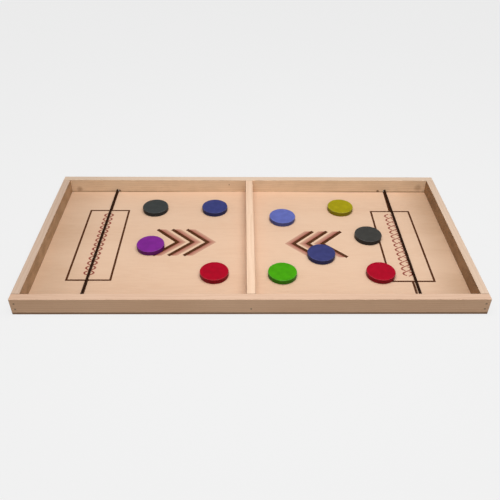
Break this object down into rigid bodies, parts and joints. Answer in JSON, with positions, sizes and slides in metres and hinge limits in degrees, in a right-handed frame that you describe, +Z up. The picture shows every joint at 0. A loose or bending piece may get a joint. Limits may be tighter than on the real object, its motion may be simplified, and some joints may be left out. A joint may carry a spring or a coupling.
{
  "type": "sling puck board",
  "caption": "Shallow wooden tray game: a centre divider with a low gate, an elastic sling across each end, and loose coloured disc pucks that are shot through the gate.",
  "frame": {"origin": "middle of the underside, on the table", "axes": "+X along the board from the left half to the right half, +Y from the front rail to the back rail, +Z up from the table"},
  "size_m": [0.61, 0.305, 0.025],
  "materials": {
    "floor_wood": "smooth pale veneer, clear satin lacquer",
    "rail_wood": "planed pale softwood, clear satin lacquer",
    "nail_steel": "dull brads",
    "elastic": "black braided elastic cord",
    "puck_slate_paint": "wooden disc, satin paint",
    "puck_blue_paint": "wooden disc, satin paint",
    "puck_purple_paint": "wooden disc, satin paint",
    "puck_red_left_paint": "wooden disc, satin paint",
    "puck_periwinkle_paint": "wooden disc, satin paint",
    "puck_olive_paint": "wooden disc, satin paint",
    "puck_charcoal_paint": "wooden disc, satin paint",
    "puck_navy_paint": "wooden disc, satin paint",
    "puck_green_paint": "wooden disc, satin paint",
    "puck_red_right_paint": "wooden disc, satin paint"
  },
  "bodies": {
    "board": {"base_panel": "floor_wood", "front_rail": "rail_wood", "back_rail": "rail_wood", "left_rail": "rail_wood", "right_rail": "rail_wood", "centre_divider": "rail_wood", "corner_nails": "nail_steel", "divider_nails": "nail_steel", "base_nails": "nail_steel", "left_sling_knots": "elastic", "right_sling_knots": "elastic"},
    "left_sling": {"left_sling_cord": "elastic"},
    "right_sling": {"right_sling_cord": "elastic"},
    "puck_slate": {"puck_slate": "puck_slate_paint"},
    "puck_blue": {"puck_blue": "puck_blue_paint"},
    "puck_purple": {"puck_purple": "puck_purple_paint"},
    "puck_red_left": {"puck_red_left": "puck_red_left_paint"},
    "puck_periwinkle": {"puck_periwinkle": "puck_periwinkle_paint"},
    "puck_olive": {"puck_olive": "puck_olive_paint"},
    "puck_charcoal": {"puck_charcoal": "puck_charcoal_paint"},
    "puck_navy": {"puck_navy": "puck_navy_paint"},
    "puck_green": {"puck_green": "puck_green_paint"},
    "puck_red_right": {"puck_red_right": "puck_red_right_paint"}
  },
  "joints": [
    {"name": "left_sling_draw", "type": "slide", "parent": "board", "child": "left_sling", "axis": [-1, 0, 0], "range_m": [0, 0.066], "stiffness_N_per_m": 60, "deforming": ["left_sling_cord"]},
    {"name": "right_sling_draw", "type": "slide", "parent": "board", "child": "right_sling", "axis": [1, 0, 0], "range_m": [0, 0.066], "stiffness_N_per_m": 60, "deforming": ["right_sling_cord"]},
    {"name": "puck_slate_slide", "type": "slide", "parent": "board", "child": "puck_slate", "axis": [1, 0, 0], "range_m": [-0.0484, 0.0534]},
    {"name": "puck_blue_slide", "type": "slide", "parent": "board", "child": "puck_blue", "axis": [1, 0, 0], "range_m": [-0.0534, 0.029]},
    {"name": "puck_purple_slide", "type": "slide", "parent": "board", "child": "puck_purple", "axis": [0.9954, 0.0961, 0], "range_m": [-0.0526, 0.2818]},
    {"name": "puck_red_left_slide", "type": "slide", "parent": "board", "child": "puck_red_left", "axis": [1, 0, 0], "range_m": [-0.1474, 0.024]},
    {"name": "puck_periwinkle_slide", "type": "slide", "parent": "board", "child": "puck_periwinkle", "axis": [-1, 0, 0], "range_m": [-0.0646, 0.025]},
    {"name": "puck_olive_slide", "type": "slide", "parent": "board", "child": "puck_olive", "axis": [-1, 0, 0], "range_m": [-0.0585, 0.0646]},
    {"name": "puck_charcoal_slide", "type": "slide", "parent": "board", "child": "puck_charcoal", "axis": [-0.9981, -0.062, 0], "range_m": [-0.0266, 0.2817]},
    {"name": "puck_navy_slide", "type": "slide", "parent": "board", "child": "puck_navy", "axis": [-1, 0, 0], "range_m": [-0.1015, 0.076]},
    {"name": "puck_green_slide", "type": "slide", "parent": "board", "child": "puck_green", "axis": [-1, 0, 0], "range_m": [-0.0954, 0.018]},
    {"name": "puck_red_right_slide", "type": "slide", "parent": "board", "child": "puck_red_right", "axis": [-1, 0, 0], "range_m": [-0.0235, 0.0954]}
  ]
}
